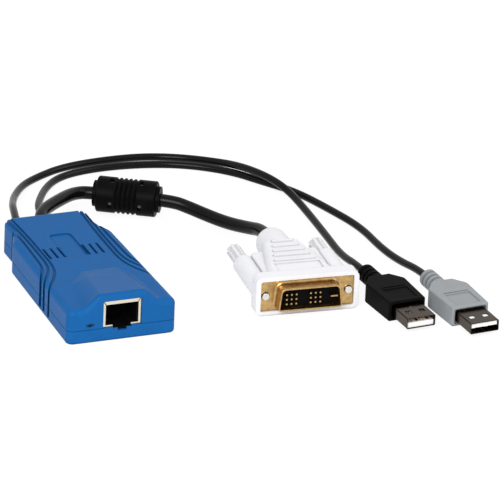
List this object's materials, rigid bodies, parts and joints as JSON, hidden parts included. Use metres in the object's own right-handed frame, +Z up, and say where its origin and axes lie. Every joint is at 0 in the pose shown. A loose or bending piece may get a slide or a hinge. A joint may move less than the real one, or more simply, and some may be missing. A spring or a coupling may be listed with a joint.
{
  "type": "kvm dongle",
  "caption": "Blue network-jack module whose leads end in a DVI plug, with a clamp-on ferrite, and in USB plugs.",
  "frame": {"origin": "bottom centre of the blue body", "axes": "+X across the body, -Y out of the network jack, +Y along the leads where they leave, +Z up"},
  "size_m": [0.162, 0.1964, 0.0191],
  "materials": {
    "blue_plastic": "satin moulded blue",
    "screw_steel": "zinc-plated",
    "board_green": "solder mask",
    "tinplate": "bright tinned sheet",
    "black_insulator": "moulded black",
    "gold_contact": "gold plated",
    "light_clear": "clear moulding",
    "led_body": "moulded",
    "chip_black": "moulded epoxy",
    "crystal_can": "drawn can",
    "capacitor_ceramic": "fired ceramic",
    "inductor_ferrite": "pressed ferrite",
    "header_cream": "moulded nylon",
    "wire_jacket": "insulated wire",
    "gland_rubber": "moulded",
    "lead_jacket": "satin jacket",
    "ferrite_plastic": "moulded black",
    "ferrite_ceramic": "sintered",
    "white_plastic": "moulded white",
    "gold_shell": "gold flash on steel",
    "rod_steel": "nickel plated",
    "plug_black": "moulded black",
    "plug_gray": "moulded gray",
    "plug_steel": "nickel plated sheet",
    "tongue_white": "moulded white"
  },
  "bodies": {
    "root": {"top_cover": "blue_plastic", "bottom_cover": "blue_plastic", "housing_screws": "screw_steel", "circuit_board": "board_green", "jack_shield": "tinplate", "jack_insulator": "black_insulator", "jack_contacts": "gold_contact", "status_led": "led_body", "light_pipe": "light_clear", "video_chip": "chip_black", "usb_chip": "chip_black", "memory_chip": "chip_black", "crystal": "crystal_can", "capacitors": "capacitor_ceramic", "inductors": "inductor_ferrite", "video_header": "header_cream", "usb_headers": "header_cream", "header_wires": "wire_jacket", "black_lead_gland": "gland_rubber", "video_lead_gland": "gland_rubber", "gray_lead_gland": "gland_rubber", "video_lead": "lead_jacket", "black_plug_lead": "lead_jacket", "gray_plug_lead": "lead_jacket", "ferrite_case_rear": "ferrite_plastic", "ferrite_core_rear": "ferrite_ceramic", "video_plug_body": "white_plastic", "video_plug_shell": "gold_shell", "video_plug_insulator": "black_insulator", "video_plug_pins": "gold_contact", "video_plug_blade": "gold_contact", "black_plug_body": "plug_black", "black_plug_shell": "plug_steel", "black_plug_tongue": "tongue_white", "black_plug_contacts": "gold_contact", "gray_plug_body": "plug_gray", "gray_plug_shell": "plug_steel", "gray_plug_tongue": "tongue_white", "gray_plug_contacts": "gold_contact"},
    "thumbscrew_left": {"thumbscrew_knob_left": "white_plastic", "thumbscrew_rod_left": "rod_steel"},
    "thumbscrew_right": {"thumbscrew_knob_right": "white_plastic", "thumbscrew_rod_right": "rod_steel"},
    "ferrite_front": {"ferrite_case_front": "ferrite_plastic", "ferrite_core_front": "ferrite_ceramic"}
  },
  "joints": [
    {"name": "thumbscrew_left_turn", "type": "hinge", "parent": "root", "child": "thumbscrew_left", "pos_m": [0.05999, -0.03944, 0.0079], "axis": [0.083, 0.9966, 0], "continuous": true},
    {"name": "thumbscrew_right_turn", "type": "hinge", "parent": "root", "child": "thumbscrew_right", "pos_m": [0.09287, -0.04218, 0.0079], "axis": [0.083, 0.9966, 0], "continuous": true},
    {"name": "ferrite_case_hinge", "type": "hinge", "parent": "root", "child": "ferrite_front", "pos_m": [0.04431, 0.06874, 0.01312], "axis": [-0.8616, 0.5075, 0], "range_deg": [0, 150]}
  ]
}
